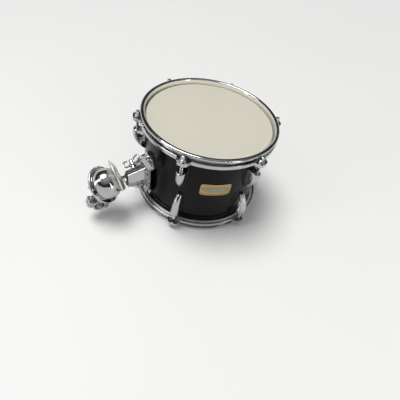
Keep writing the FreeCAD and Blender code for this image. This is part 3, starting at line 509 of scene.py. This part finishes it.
def wing_bolt(node, joint):
    """Wing bolt with a tapered hub and two looped wings, which lie along the CAD bolt's longest spoke."""
    seat = Vector(joint["pos_m"])
    axis = Vector(joint["axis"]).normalized()
    points = [v.co - seat for v in NODES[node].data.vertices]
    spokes = [p - axis * p.dot(axis) for p in points]
    shaft_end = min(p.dot(axis) for p in points)
    place = frame_along(seat, axis, max(spokes, key=lambda p: p.length))
    shaft = [(0, shaft_end), (SHAFT_RADIUS - SHAFT_BEVEL, shaft_end), (SHAFT_RADIUS, shaft_end + SHAFT_BEVEL),
             (SHAFT_RADIUS, 0)]
    hub = [(6.6 * MM, 0), (7.0 * MM, 0.5 * MM), (6.9 * MM, 1.5 * MM), (6.1 * MM, 2.4 * MM),
           (5.7 * MM, 5.0 * MM), (5.3 * MM, 9.5 * MM), (HUB_TOP_RADIUS, HUB_HEIGHT)]
    dome = [(HUB_TOP_RADIUS * math.cos(a), HUB_HEIGHT + DOME_HEIGHT * math.sin(a)) for a in DOME_ANGLES]
    bm = bmesh.new()
    revolve(bm, shaft + hub + dome + [(0, HUB_HEIGHT + DOME_HEIGHT)], HUB_SEGMENTS, place)
    for side in (-1, 1):
        wing_loop(bm, side, place)
    name = node + "_cast"
    piece(name, finish_mesh(bm, name, smooth_angle=50), "chrome", node, node)


# Badge rivets

RIVET_RADIUS = 1.9 * MM
RIVET_DOME = 0.9 * MM
RIVET_RIM = 0.3 * MM
RIVET_LIFT = 1.1 * MM  # height of the rim's top edge over the shell
RIVET_INSET = 5.5 * MM  # distance from the badge's end
RIVET_ANGLES = (0, 0.4, 0.8, 1.2)  # radians above the dome's foot
RIVET_SEGMENTS = 24


def badge_rivets():
    """A small domed rivet at each end of the badge."""
    low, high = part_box("badge_plate")
    middle = (low + high) / 2
    reach = (high.x - low.x) / 2 - RIVET_INSET
    dome = [(RIVET_RADIUS * math.cos(a), RIVET_DOME * math.sin(a)) for a in RIVET_ANGLES]
    profile = [(0, -RIVET_RIM), (RIVET_RADIUS, -RIVET_RIM)] + dome + [(0, RIVET_DOME)]
    bm = bmesh.new()
    for side in (-1, 1):
        angle = side * reach / SHELL_RADIUS
        out = Vector((math.sin(angle), -math.cos(angle), 0))
        seat = out * (SHELL_RADIUS + RIVET_LIFT) + Vector((0, 0, middle.z))
        revolve(bm, profile, RIVET_SEGMENTS, frame_along(seat, out, Vector((0, 0, 1))))
    piece("badge_rivets", finish_mesh(bm, "badge_rivets"), "badge_gold", "drum")


# Stage, light and camera

FLOOR_SIZE = 90.0
FLOOR_GAP = 0.2 * MM  # keeps the floor from lying in the same plane as the lower hoop

# Brightness of the room by the sine of the angle above the horizon. The first holds below the horizon.
ROOM_LEVELS = ((0.0, 0.88), (0.30, 0.84), (0.43, 0.03), (0.64, 0.05), (0.84, 0.33), (1.0, 0.54))
ROOM_BLUE = 1.01  # share of blue, for a faint cool cast
STRIP_TARGET = (0, 0, 0.1)  # the middle of the drum, which both strips face

CAMERA_PLACE = (-0.1581, -0.4955, 0.5239)
CAMERA_FORWARD = (0.2253, 0.6278, -0.7451)
CAMERA_RIGHT = (0.9742, -0.1577, 0.1617)
CAMERA_LENS = 27.25  # focal length in millimetres
CAMERA_SENSOR = 36.0  # width in millimetres
CAMERA_RANGE = (0.01, 100.0)  # nearest and furthest that it sees, in metres


def make_floor():
    """Pale floor just under the drum, wide enough to reach the horizon in low views."""
    bpy.ops.mesh.primitive_plane_add(size=FLOOR_SIZE, location=(0, 0, cad_box[0].z - FLOOR_GAP))
    floor = bpy.context.object
    floor.name = "studio_floor"
    m = Tree("pale_floor")
    cloud = m.noise(1.6)
    m.set(Base_Color=m.blend(cloud, (0.78, 0.778, 0.768), (0.82, 0.818, 0.808)), Roughness=0.62)
    floor.data.materials.append(m.material)


def make_world():
    """Pale lower walls, a dim band above them and a paler ceiling, for the plated parts to reflect."""
    world = bpy.data.worlds.new("studio_world")
    world.use_nodes = True
    bpy.context.scene.world = world
    tree = world.node_tree
    place = tree.nodes.new("ShaderNodeTexCoord")
    split = tree.nodes.new("ShaderNodeSeparateXYZ")
    ramp = tree.nodes.new("ShaderNodeValToRGB")
    tree.links.new(place.outputs["Generated"], split.inputs[0])
    tree.links.new(split.outputs[2], ramp.inputs[0])
    ramp.color_ramp.elements.remove(ramp.color_ramp.elements[0])
    for i, (position, level) in enumerate(ROOM_LEVELS):
        element = ramp.color_ramp.elements[0] if i == 0 else ramp.color_ramp.elements.new(position)
        element.position = position
        element.color = (level, level, level * ROOM_BLUE, 1)
    tree.links.new(ramp.outputs[0], tree.nodes["Background"].inputs["Color"])


def aimed(name, data, direction):
    """Light in the scene that shines along a direction."""
    lamp = bpy.data.objects.new(name, data)
    lamp.rotation_mode = "QUATERNION"
    lamp.rotation_quaternion = direction.to_track_quat("-Z", "Y")
    bpy.context.scene.collection.objects.link(lamp)
    return lamp


def soft_light(name, position, size, energy):
    """Rectangular light that faces the drum."""
    data = bpy.data.lights.new(name, "AREA")
    data.shape = "RECTANGLE"
    data.size, data.size_y = size
    data.energy = energy
    lamp = aimed(name, data, Vector(STRIP_TARGET) - Vector(position))
    lamp.location = position


def broad_glow(name, towards, strength, spread):
    """Very soft light that falls evenly over the whole floor."""
    data = bpy.data.lights.new(name, "SUN")
    data.energy = strength
    data.angle = math.radians(spread)
    aimed(name, data, Vector(towards))


def make_lights():
    broad_glow("room_glow", towards=(0.25, -0.2, -1.0), strength=2.35, spread=32)
    soft_light("left_strip", position=(-1.2, -0.3, 0.8), size=(0.25, 1.2), energy=2.5)
    soft_light("right_strip", position=(0.9, -1.1, 0.7), size=(0.2, 1.2), energy=2)


def make_camera():
    data = bpy.data.cameras.new("photo_camera")
    data.sensor_width = CAMERA_SENSOR
    data.lens = CAMERA_LENS
    data.clip_start, data.clip_end = CAMERA_RANGE
    camera = bpy.data.objects.new("photo_camera", data)
    bpy.context.scene.collection.objects.link(camera)
    forward = Vector(CAMERA_FORWARD).normalized()
    right = Vector(CAMERA_RIGHT)
    right = (right - forward * right.dot(forward)).normalized()
    matrix = Matrix((right, right.cross(forward), -forward)).transposed().to_4x4()
    matrix.translation = Vector(CAMERA_PLACE)
    camera.matrix_world = matrix
    bpy.context.scene.camera = camera


def main():
    paint_nodes()
    for end in ("top", "bottom"):
        for number in range(1, RODS_PER_HEAD + 1):
            tension_rod(f"tension_rod_{end}_{number}")
    wing_bolt("receiver_wing_bolt", JOINTS["receiver_bolt_turn"])
    wing_bolt("ball_lock_bolt", JOINTS["lock_bolt_turn"])
    badge_rivets()
    make_floor()
    make_world()
    make_lights()
    make_camera()
    bpy.context.scene.view_settings.view_transform = "Standard"


main()
